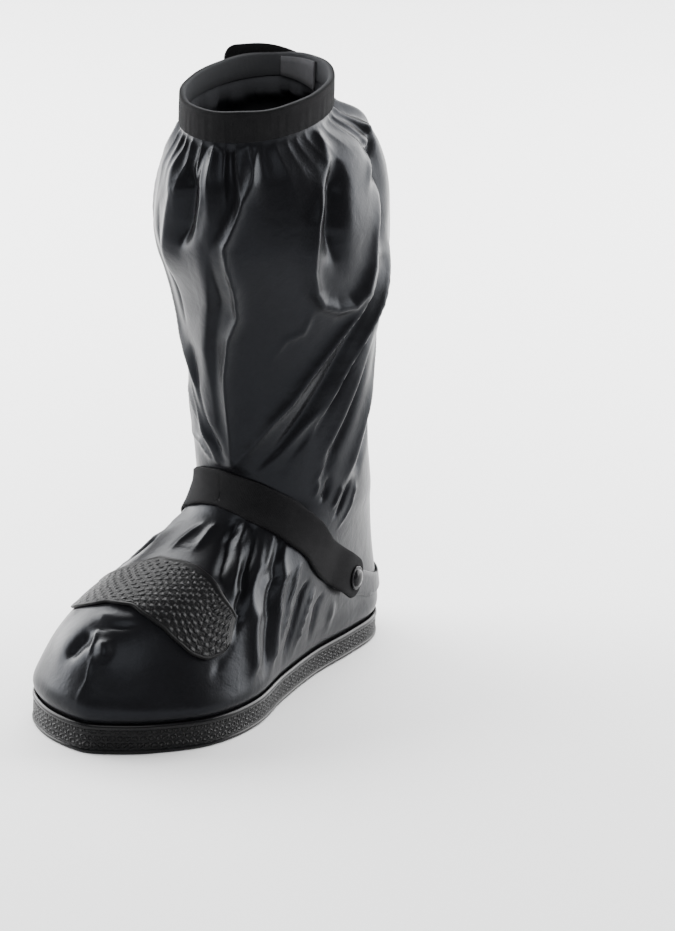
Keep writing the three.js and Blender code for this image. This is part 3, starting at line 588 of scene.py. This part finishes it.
# inset from the outline, height above the ground or else from the side's top, v
side_profile = [
    (UNDER_INSET, UNDER_UP, None, 0), (1.4, 0.0, None, 0), (0.5, 0.25, None, .2),
    (0.1, 0.9, None, .5), (0, 1.6, None, .9), (0, 2.2, None, .98), (0.5, 2.6, None, CHAIN_LOW),
    (0.5, None, -3.2, CHAIN_HIGH), (0.05, None, -2.8, 5.1), (0, None, -1.9, 5.4),
    (0.15, None, -0.9, 5.8), (0.7, None, -0.15, 6.1), (1.2, None, 0, 6.4),
    (1.9, None, -0.1, 6.8), (2.3, None, -0.5, 7.0), (SIDEWALL_WALL, None, -1.2, 7.2),
    (SIDEWALL_WALL, SOLE_THICKNESS, None, 8.0)]
rings = np.array([sole_edge(sole_angles, inset,
                            ground if top is None else sidewall_top(sole_angles) + top)
                  for inset, ground, top, _ in side_profile])
edge_way = way_along(rings[4])
sole_uv = uv_grid(edge_way / 10, np.array([row[3] for row in side_profile])[:, None],
                  rings.shape[:2])
side = grid_mesh("sole_side", rings, sole_uv, float(edge_way[-1] / 10 + 0.03), flip=True)


def plate(name, edge, flip):
    """Flat plate filled from an outline to its middle line."""
    middle = edge.copy()
    middle[:, 0] = 0.12 * edge[:, 0]
    t = np.linspace(0, 1, 9)[:, None, None]
    points = edge[None] * (1 - t) + middle[None] * t
    return grid_mesh(name, points, points[..., :2] / 100, 0.0, flip)


under = plate("sole_under", sole_edge(sole_angles, UNDER_INSET, UNDER_UP), True)
floor_in = plate("sole_floor", sole_edge(sole_angles, SIDEWALL_WALL, SOLE_THICKNESS), False)
sole = joined("cover_outsole", [side, under, floor_in])
sole.data.materials.append(chained_rubber("sole_rubber"))
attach(sole, "root")
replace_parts(sole, "outsole")


# CUFF BAND
# Knitted elastic binding folded over the top edge of the cloth and sewn through; it draws
# the cloth into gathers below it. Its inner face is painted a little paler, as light for the dim inside
# of the cuff.
RIBS = 110                           # of the knit, for ten centimetres


def knit(name, tone, rough):
    n = Finish(name)
    u, v = n.uv()
    ribs = RIBS * 2 * math.pi
    weave = n.math("ADD", n.math("SINE", n.math("MULTIPLY", u, ribs)),
                   n.math("MULTIPLY", n.math("SINE", n.math("MULTIPLY", v, ribs * 1.3)), 0.6))
    color = n.shades(n.noise(90.0, 4.0), (tone, tone, tone * 1.08),
                     (tone * 1.9, tone * 1.9, tone * 2.0))
    # the inner face's paler colour is painted light for the dim inside of the cuff
    color_and_painted_inner_light = n.mixed(n.marked("inner"), color, (0.045, 0.046, 0.049))
    bump = n.bump(weave, 0.00010, 0.5)
    bump = n.bump(n.noise(1400.0, 2.0), 0.0002, 0.6, bump)
    return n.end(color_and_painted_inner_light, rough, bump, 0.04)


def normal(angle, level):
    """Direction straight out of the surface."""
    angle, level = np.broadcast_arrays(np.asarray(angle, float), np.asarray(level, float))
    low, high = np.maximum(level - 0.05, 0), np.minimum(level + 0.05, LAST)
    turn = surface(angle + 1, level) - surface(angle - 1, level)
    return unit(np.cross(surface(angle, high) - surface(angle, low), turn))


CUFF_AROUND, CUFF_SEAM_U = 420, 3.2
cuff_angles = np.arange(CUFF_AROUND) * 360 / CUFF_AROUND
cuff_out, cuff_in = GAP + CUFF_THICKNESS, -CLOTH_WALL - GAP
inner_face = cuff_in - CUFF_THICKNESS
rim = surface(cuff_angles, LAST)
rim_out = normal(cuff_angles, LAST)
rim_out[:, 2] = 0
rim_out = unit(rim_out)
hem = 2 - CUFF_HEIGHT
# once round the band, from its outer hem over the rim to its inner hem: out from the cloth, up
cuff_profile = [
    (GAP, hem), (GAP + .4, hem - .3), (cuff_out, hem + .2), (cuff_out + .12, hem + 1.0),
    (cuff_out - .05, hem + 2.0), (cuff_out, hem + 3.0), (cuff_out + .08, -9), (cuff_out, -4.5),
    (cuff_out - .12, -3.4), (cuff_out, -2.4), (cuff_out, 0), (cuff_out - .15, .7),
    (cuff_out - .7, 1.25), (inner_face + .7, 1.25), (inner_face + .15, .7), (inner_face, 0),
    (inner_face, -8), (inner_face, hem + 4.6), (cuff_in - .5, hem + 4), (cuff_in, hem + 4.2)]
OUTER_ROWS = 13
# the rim is a little wavy, the outer hem a little pleated
lift = (0.30 * np.sin(np.radians(cuff_angles * 5 + 30))
        + 0.22 * np.sin(np.radians(cuff_angles * 9 + 200)))
ripple = (0.07 * np.sin(np.radians(cuff_angles * 43))
          + 0.05 * np.sin(np.radians(cuff_angles * 61 + 50)))
cuff_rings = []
for side_out, up in cuff_profile:
    at_rim = smooth(-12, 1, up)
    rippled = ripple[:, None] * (1 - at_rim) * (1 if side_out > 0 else 0)
    cuff_rings.append(rim + rim_out * (side_out + rippled) + np.outer(up + lift * at_rim, [0, 0, 1]))
cuff_rings = np.array(cuff_rings)
cuff_uv = uv_grid(cuff_angles / 360 * CUFF_SEAM_U, way_along(cuff_rings[:, 0])[:, None] / 100,
                  cuff_rings.shape[:2])
cuff = grid_mesh("cover_cuff_band", cuff_rings, cuff_uv, CUFF_SEAM_U, flip=True)
mark(cuff, "inner", np.repeat(np.arange(len(cuff_rings)) >= OUTER_ROWS, CUFF_AROUND))
cuff.data.materials.append(knit("cuff_elastic", 0.006, 0.85))
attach(cuff, "root")
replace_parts(cuff, "cuff_band")


# CLOSURE TAB
# One flat end of the cuff's elastic, outside at the back: it rises a little above the rim,
# and its rounded free end on the lateral side stands off.
TAB_LENGTH, TAB_HEIGHT, TAB_THICKNESS, TAB_LIFT, TAB_RISE = 40.0, 17.0, 1.6, 8.0, 5.0
TAB_START, TAB_ROUND = -14, 0.86     # angle it starts at, share of its length where it rounds off


def strip(name, lines, uv):
    """Closed strip: each row of lines holds the points round one cross section."""
    lines = np.concatenate([lines, lines[:, :1]], 1)
    uv = np.concatenate([uv, uv[:, :1]], 1)
    ends = [lines[:1].mean(1, keepdims=True).repeat(lines.shape[1], 1),
            lines[-1:].mean(1, keepdims=True).repeat(lines.shape[1], 1)]
    lines = np.concatenate([ends[0], (lines[:1] + ends[0]) / 2, lines,
                            (lines[-1:] + ends[1]) / 2, ends[1]])
    uv = np.concatenate([uv[:1], uv[:1], uv, uv[-1:], uv[-1:]])
    return grid_mesh(name, lines, uv)


def on_cuff(a, far, up):
    """Points beside the rim at angles a, far out of the cloth and up above its edge."""
    out = normal(a, LAST) * [1, 1, 0]
    return surface(a, LAST) + unit(out) * far[:, None] + np.outer(up, [0, 0, 1])


def along_cuff(start, length, t):
    """Angles at t of a length that runs round the cuff from start to the lateral side."""
    turn = length / (math.pi * (CUFF_WIDTH + CUFF_DEPTH) / 2) * 360
    return np.mod(start - turn * t, 360)


t = np.concatenate([np.linspace(0, TAB_ROUND, 34),
                    TAB_ROUND + .14 * np.sin(np.linspace(.1, 1, 14) * math.pi / 2)])
tab_angles = along_cuff(TAB_START, TAB_LENGTH, t)
face = cuff_out + GAP + TAB_LIFT * t * t
tab_top = cuff_out - 0.5 + TAB_RISE * np.sin(np.minimum(1, t / 0.65) * math.pi / 2)
tab_half = TAB_HEIGHT / 2 * np.sqrt(
    np.clip(1 - np.clip((t - TAB_ROUND) / .142, 0, 1) ** 2.4, .02, 1))
# round the tab: through its thickness (0 inside, 1 outside), up (-1 low edge, 1 high edge)
loop = [(0, -1.0), (0, -.5), (0, 0.0), (0, .5), (.15, .97), (.5, 1), (.85, .97), (1, .5), (1, 0),
        (1, -.5), (.85, -.97), (.15, -.97)]
lines = np.stack([on_cuff(tab_angles, face + far * TAB_THICKNESS,
                          tab_top - TAB_HEIGHT / 2 + up * tab_half) for far, up in loop], 1)
tab = strip("cover_closure_tab", lines,
            uv_grid(t[:, None] * .4, np.array([up for _, up in loop]) * .09, lines.shape[:2]))
tab.data.materials.append(cuff.data.materials[0])
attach(tab, "root")
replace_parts(tab, "closure_tab")


# CLOSURE FLAP
# The elastic's other end, inside the cuff at the back: a stiff flat piece cut square, lower
# at the medial side, its face painted paler than the binding as light for the dim inside of the cuff.
FLAP_LENGTH, FLAP_HEIGHT, FLAP_THICKNESS = 30.0, 18.0, 1.2
FLAP_START, FLAP_DROP, FLAP_TAPER = 11, 1, 0.35
t = np.linspace(0, 1, 30)
flap_angles = along_cuff(FLAP_START, FLAP_LENGTH, t)
low = -FLAP_DROP - FLAP_HEIGHT * (1 - FLAP_TAPER * t)
# round the flap: through its thickness (0 at the cuff, 1 inside), up (0 low edge, 1 high edge)
loop = [(0, 0), (.5, -.02), (1, 0), (1, .25), (1, .5), (1, .75), (1, 1), (.5, 1.02), (0, 1),
        (0, .75), (0, .5), (0, .25)]
lines = np.stack([on_cuff(flap_angles, inner_face - GAP - far * FLAP_THICKNESS + 0 * t,
                          low + (-FLAP_DROP - low) * up) for far, up in loop], 1)
flap = strip("cover_closure_flap", lines,
             uv_grid(t[:, None] * .3, np.array([up for _, up in loop]) * .18, lines.shape[:2]))
# the flap's pale tone is painted light: the inside of the cuff gets little light, and this colour stands
# in for it
flap.data.materials.append(knit("cuff_elastic_flap", 0.06, 0.8))
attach(flap, "root")
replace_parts(flap, "closure_flap")


# HEEL BAND
# A strip of the same coated cloth, doubled and welded round the heel; the lower halves of
# the two snaps sit on its ends.
HEEL_BAND_THICKNESS, CLOTH_GAP = 1.4, 0.6


def level_at(angle, up):
    """Level at which the surface reaches a height."""
    low, high = np.zeros(np.shape(angle)), np.full(np.shape(angle), float(LAST))
    for _ in range(30):
        middle = (low + high) / 2
        under = surface(angle, middle)[..., 2] < up
        low, high = np.where(under, middle, low), np.where(under, high, middle)
    return (low + high) / 2


def slide(angle, level, vector):
    """Angle and level of the surface point nearest to a surface point moved by vector."""
    target = surface(angle, level) + vector
    angle, level = np.array(angle, float), np.array(level, float)
    for _ in range(5):
        turn = (surface(angle + 1, level) - surface(angle - 1, level)) / 2
        rise = (surface(angle, level + 0.05) - surface(angle, level - 0.05)) * 10
        rest = target - surface(angle, level)
        rr, ru, uu = (turn * turn).sum(-1), (turn * rise).sum(-1), (rise * rise).sum(-1)
        r, u = (turn * rest).sum(-1), (rise * rest).sum(-1)
        size = rr * uu - ru * ru
        angle = angle + (r * uu - u * ru) / size
        level = np.clip(level + (u * rr - r * ru) / size, 0, LAST)
    return angle, level


HEEL_END = HEEL_PATH[-1][0]
heel_angles = np.linspace(HEEL_END, -HEEL_END, 150)
heel_levels = level_at(heel_angles, path_up(HEEL_PATH, heel_angles))
half = HEEL_BAND_HEIGHT / 2 * np.sqrt(
    np.clip(1 - np.clip((np.abs(heel_angles) - HEEL_END + 5) / 5.5, 0, 1) ** 2, 0.12, 1))
# round the band: up (-1 low edge, 1 high edge), through its thickness (0 at the cloth)
loop = [(-1, 0), (-.5, 0), (0, 0), (.5, 0), (1, 0), (1, .7), (.95, 1), (.5, 1.0), (0, 1.0),
        (-.5, 1.0), (-.95, 1), (-1, .7)]
points = []
for side_up, height in loop:
    vector = np.stack([0 * heel_angles, 0 * heel_angles, side_up * half], -1)
    a, level = slide(heel_angles, heel_levels, vector)
    points.append(surface(a, level) + normal(a, level) * (CLOTH_GAP + height * HEEL_BAND_THICKNESS))
lines = np.stack(points, 1)[:, ::-1]
heel_band = strip("cover_heel_band", lines, lines[..., [1, 2]] / 100)
heel_band.data.materials.append(upper.data.materials[0])
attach(heel_band, "root")
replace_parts(heel_band, "heel_band")


# ANKLE STRAP
# Woven elastic band over the front of the ankle; both ends are lifted onto the snaps on
# the heel band and cut round.
STRAP_THICKNESS, STRAP_END, STUD_HEIGHT = 1.6, 10.0, 1.6
STRAP_START, END_ROWS, SIDE_ROWS = STRAP_PATH[0][0], 14, 120
STUD_FOOT = CLOTH_GAP + HEEL_BAND_THICKNESS + GAP
STRAP_FOOT = STUD_FOOT + STUD_HEIGHT + GAP
FLAT_TO, SOFT_TO = 8, 26             # the end is flat so far from the snap, then bends to the leg


def snap_place(sign):
    """Spot of a snap on the cloth, its direction outward, and those along and across the strap."""
    angles = np.mod(sign * np.array([STRAP_START, STRAP_START + 5]), 360)
    levels = level_at(angles, path_up(STRAP_PATH, angles))
    foot, ahead = surface(angles, levels)
    away = normal(angles, levels)[0]
    along = ahead - foot
    along = unit(along - away * (along @ away))
    return foot, away, along, np.cross(away, along)


# round the strap: side (-1 and 1 its edges), through its thickness (0 at the cloth)
STRAP_LOOP = [(1, 0), (1.01, .5), (.97, 1.0), (.85, 1.06), (.5, 1), (0, 1), (-.5, 1),
              (-.85, 1.06), (-.97, 1), (-1.01, .5), (-1, 0), (-.5, 0), (0, 0), (.5, 0)]


def strap_half(sign):
    """Cross sections from the snap on one side to the front of the ankle, and their uv."""
    foot, away, along0, across0 = snap_place(sign)
    turn = np.concatenate([np.full(END_ROWS, STRAP_START),
                           np.linspace(STRAP_START, 180, SIDE_ROWS)[1:]])
    a = np.mod(sign * turn, 360)
    level = level_at(a, path_up(STRAP_PATH, a))
    p = surface(a, level)
    distance = way_along(p)
    distance[:END_ROWS] = -STRAP_END * np.sin(np.linspace(math.pi / 2, 0, END_ROWS))
    ahead = np.mod(sign * (turn + 1), 360)
    along = unit(surface(ahead, level_at(ahead, path_up(STRAP_PATH, ahead))) - p)
    across = unit(np.cross(normal(a, level), along))
    flat = (1 - smooth(FLAT_TO, SOFT_TO, distance))[:, None]
    end = np.sqrt(np.clip(1 - np.maximum(0, -distance / STRAP_END) ** 2, 0.0025, 1))
    rows = []
    for side, height in STRAP_LOOP:
        seat_a, seat_level = slide(a, level, across * (side * STRAP_WIDTH / 2))
        seat = (surface(seat_a, seat_level)
                + normal(seat_a, seat_level) * (CLOTH_GAP + height * STRAP_THICKNESS))
        plane = (foot + away * (STRAP_FOOT + height * STRAP_THICKNESS) + np.outer(distance, along0)
                 + np.outer(side * end * STRAP_WIDTH / 2, across0))
        rows.append(seat * (1 - flat) + plane * flat)
    rows = np.stack(rows, 1)
    v = np.array([side for side, _ in STRAP_LOOP]) * STRAP_WIDTH / 200
    return rows, uv_grid(distance[:, None] / 100, v, rows.shape[:2])


medial_rows, medial_uv = strap_half(1)
lateral_rows, lateral_uv = strap_half(-1)
# the lateral half runs back from the front, its loop turned the other way round
other_way = [10, 9, 8, 7, 6, 5, 4, 3, 2, 1, 0, 13, 12, 11]
lateral_rows, lateral_uv = lateral_rows[:, other_way], lateral_uv[:, other_way]
lateral_uv = lateral_uv * [-1, -1] + [2 * medial_uv[-1, 0, 0], 0]
strap = strip("cover_ankle_strap", np.concatenate([medial_rows, lateral_rows[::-1][1:]]),
              np.concatenate([medial_uv, lateral_uv[::-1][1:]]))
strap.data.materials.append(knit("webbing", 0.006, 0.85))
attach(strap, "root")
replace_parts(strap, "ankle_strap")


# SNAPS
# Moulded glossy press snaps: a domed cap with a raised rim on each end of the strap, and
# the lower half under it on the heel band.
SNAP_DIAMETER, SNAP_HEIGHT, STUD_DIAMETER = 15.0, 3.4, 11.0
CAP_FOOT = STRAP_FOOT + STRAP_THICKNESS + GAP
MIDDLE = 0.01                        # radius that closes a profile at the snap's axis


def gloss(name):
    n = Finish(name)
    wear = n.noise(400.0, 3.0)
    return n.end(n.shades(wear, (0.004, 0.004, 0.005), (0.008, 0.008, 0.009)),
                 n.ramp(wear, 0.3, 0.7, 0.14, 0.24), n.bump(wear, 0.00004, 0.5), 0.08)


snap_material = gloss("snap_plastic")


def button(name, place, profile):
    """Piece turned about a snap's axis from a profile of (radius, height above the cloth)."""
    foot, away, along, across = place
    turn = np.linspace(0, 2 * math.pi, 65)
    rows = np.array([foot + away * up + np.outer(radius * np.cos(turn), along)
                     + np.outer(radius * np.sin(turn), across) for radius, up in profile])
    obj = grid_mesh(name, rows, uv_grid(turn / 6.28, np.arange(len(rows))[:, None] / 10,
                                        rows.shape[:2]))
    obj.data.materials.append(snap_material)
    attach(obj, "root")
    return obj


for side_name, sign in (("medial", 1), ("lateral", -1)):
    place = snap_place(sign)
    r = SNAP_DIAMETER / 2
    cap = [(MIDDLE, CAP_FOOT), (r, CAP_FOOT), (r, CAP_FOOT + .8), (r - .35, CAP_FOOT + 1.15),
           (r - 1.1, CAP_FOOT + 1.2), (r - 1.5, CAP_FOOT + 1.0)]
    cap += [((r - 1.7) * math.cos(k), CAP_FOOT + 1.0 + (SNAP_HEIGHT - 1.0) * math.sin(k))
            for k in np.linspace(0.1, math.pi / 2, 12)]
    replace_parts(button("cover_snap_cap_" + side_name, place, cap), "snap_cap_" + side_name)
    r = STUD_DIAMETER / 2
    stud = [(MIDDLE, STUD_FOOT), (r, STUD_FOOT), (r, STUD_FOOT + STUD_HEIGHT),
            (MIDDLE, STUD_FOOT + STUD_HEIGHT)]
    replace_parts(button("cover_snap_stud_" + side_name, place, stud), "snap_stud_" + side_name)


# GRIP PATCH
# Moulded rubber piece welded over the instep and drawn down at both sides, embossed with
# a rough woven pattern inside a thin raised border.
PATCH_THICKNESS = 1.3
KNOTS_U, KNOTS_V = 85.0, 101.0       # radians of the pattern for ten centimetres


def embossed(name):
    """Slightly wandering lattice of knots inside the border, with a painted highlight on the knots'
    tops.
    """
    n, color, bump = rubber(name, 0.0032)
    bent = n.noise(90.0, 3.0)
    u, v = n.uv()
    u = n.math("ADD", n.math("MULTIPLY", u, KNOTS_U), n.math("MULTIPLY", bent, 4.2))
    v = n.math("ADD", n.math("MULTIPLY", v, KNOTS_V), n.math("MULTIPLY", bent, 3.4))
    knots = n.math("MULTIPLY", n.math("COSINE", u), n.math("COSINE", v))
    height = n.math("ADD", n.ramp(knots, 0.0, 0.95), n.math("MULTIPLY", n.noise(600.0, 3.0), 0.7))
    rough_part = n.marked("rough_part")
    bump = n.bump(n.math("MULTIPLY", height, rough_part), 0.0010, 0.75, bump)
    # painted highlight: the knots' tops are painted paler where they would catch the light
    painted_knot_highlight = n.math("MULTIPLY", n.ramp(knots, 0.5, 1.0), rough_part)
    return n.end(n.mixed(painted_knot_highlight, color, (0.016, 0.0165, 0.018)), 0.42, bump, 0.09)


patch_angles = np.linspace(PATCH[-1][0], PATCH[0][0], 240)
low, high = (ANKLE_HEIGHT * curve([row[0] for row in PATCH], [row[k] for row in PATCH], patch_angles)
             for k in (1, 2))
# rows from the low edge to the high one, and their heights: a raised border round a flat field
FIELD_ROWS = 60
across = np.concatenate([[0, 0, .012, .03, .045, .06], np.linspace(.08, .92, FIELD_ROWS),
                         [.94, .955, .97, .988, 1, 1]])
border = [0, .8, 1.25, 1.25, 1.15, .95]
heights = np.concatenate([border, np.full(FIELD_ROWS, .9), border[::-1]])
from_end = np.minimum(patch_angles - patch_angles.min(), patch_angles.max() - patch_angles)
rows = []
for share_up, height in zip(across, heights):
    level = level_at(patch_angles, low + (high - low) * share_up)
    thick = CLOTH_GAP + PATCH_THICKNESS * height * (0.2 + 0.8 * np.minimum(1, from_end))
    rows.append(surface(patch_angles, level) + normal(patch_angles, level) * thick[:, None])
rows = np.array(rows)
rise = np.concatenate([np.zeros((1, len(patch_angles))),
                       np.cumsum(np.linalg.norm(np.diff(rows, axis=0), axis=-1), 0)])
patch = grid_mesh("cover_grip_patch", rows,
                  uv_grid(way_along(rows[len(rows) // 2]) / 100, rise / 100, rise.shape))
inside = smooth(.055, .075, across) * (1 - smooth(.925, .945, across))
mark(patch, "rough_part", np.outer(inside, smooth(1.4, 2.6, from_end)))
patch.data.materials.append(embossed("patch_rubber"))
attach(patch, "root")
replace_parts(patch, "grip_patch")


# STUDIO
# Plain pale round floor; a large soft light at each side, one above behind and a weak one
# above in front; and the photo's long lens from the medial front.
FLOOR_RINGS, FLOOR_DROP = (1, 500, 1500, 3200), 0.2
AZ, EL, ROLL = math.radians(36.0), math.radians(20.0), math.radians(-1.6)
LENS_DISTANCE, LENS_SENSOR, AIM_HEIGHT = 5.0, 24, 0.18
PHOTO_WIDTH, PHOTO_HEIGHT, PIXELS_PER_METRE = 675, 931, 1630
AIM_X, AIM_Y = 261, 385              # pixel of the photo at which the aim lies
WORLD_COLOR, WORLD_STRENGTH = (0.93, 0.96, 1.0, 1), 0.15


def paper():
    n = Finish("studio_paper")
    tone = n.ramp(n.noise(500.0, 2.0), 0.3, 0.7, 0.91, 0.93)
    color = n.add("ShaderNodeCombineColor", {0: tone, 1: tone, 2: tone}).outputs[0]
    return n.end(color, 0.95, None, 0.05)


turn = np.linspace(0, 2 * math.pi, 97)[:-1]
disc = np.array([np.stack([np.cos(turn) * r, np.sin(turn) * r, turn * 0 - FLOOR_DROP], -1)
                 for r in FLOOR_RINGS])
floor = grid_mesh("studio_floor", disc, disc[..., :2] / 1000, 0.0)
floor.data.materials.append(paper())

world = bpy.data.worlds.new("studio")
scene.world = world
world.use_nodes = True
world.node_tree.nodes["Background"].inputs[0].default_value = WORLD_COLOR
world.node_tree.nodes["Background"].inputs[1].default_value = WORLD_STRENGTH

# level directions away from the camera and to its right
behind = Vector((-math.sin(AZ), math.cos(AZ), 0))
beside = Vector((math.cos(AZ), math.sin(AZ), 0))


def soft_light(name, right, away, up, size, power):
    data = bpy.data.lights.new(name, "AREA")
    data.shape, data.size, data.size_y, data.energy = "RECTANGLE", size[0], size[1], power
    obj = bpy.data.objects.new(name, data)
    scene.collection.objects.link(obj)
    obj.location = beside * right + behind * away + Vector((0, 0, up))
    aim = Vector((0, -0.03, 0.17)) - obj.location
    obj.rotation_euler = aim.to_track_quat("-Z", "Y").to_euler()


soft_light("light_left", -1.2, 0.60, 0.58, (1.8, 1.15), 102)
soft_light("light_right", 1.2, 0.66, 0.60, (1.7, 1.2), 80)
soft_light("light_top", 0, 1.9, 1.6, (2.0, 1.2), 90)
soft_light("light_front", 0, -1.4, 1.7, (1.7, 1.2), 27)

to_camera = Vector((math.sin(AZ) * math.cos(EL), -math.cos(AZ) * math.cos(EL), math.sin(EL)))
level_up = to_camera.cross(beside)
camera_right = beside * math.cos(ROLL) - level_up * math.sin(ROLL)
camera_up = beside * math.sin(ROLL) + level_up * math.cos(ROLL)
camera_data = bpy.data.cameras.new("camera")
camera = bpy.data.objects.new("camera", camera_data)
scene.collection.objects.link(camera)
camera.matrix_world = Matrix.Translation(
    Vector((0, 0, AIM_HEIGHT)) + to_camera * LENS_DISTANCE) @ Matrix(
    (camera_right, camera_up, to_camera)).transposed().to_4x4()
camera_data.sensor_fit = "VERTICAL"
camera_data.sensor_height = LENS_SENSOR
camera_data.lens = LENS_SENSOR * LENS_DISTANCE / (PHOTO_HEIGHT / PIXELS_PER_METRE)
camera_data.shift_x = (PHOTO_WIDTH / 2 - AIM_X) / PHOTO_HEIGHT
camera_data.shift_y = -(PHOTO_HEIGHT / 2 - AIM_Y) / PHOTO_HEIGHT
camera_data.clip_end = 30
scene.camera = camera
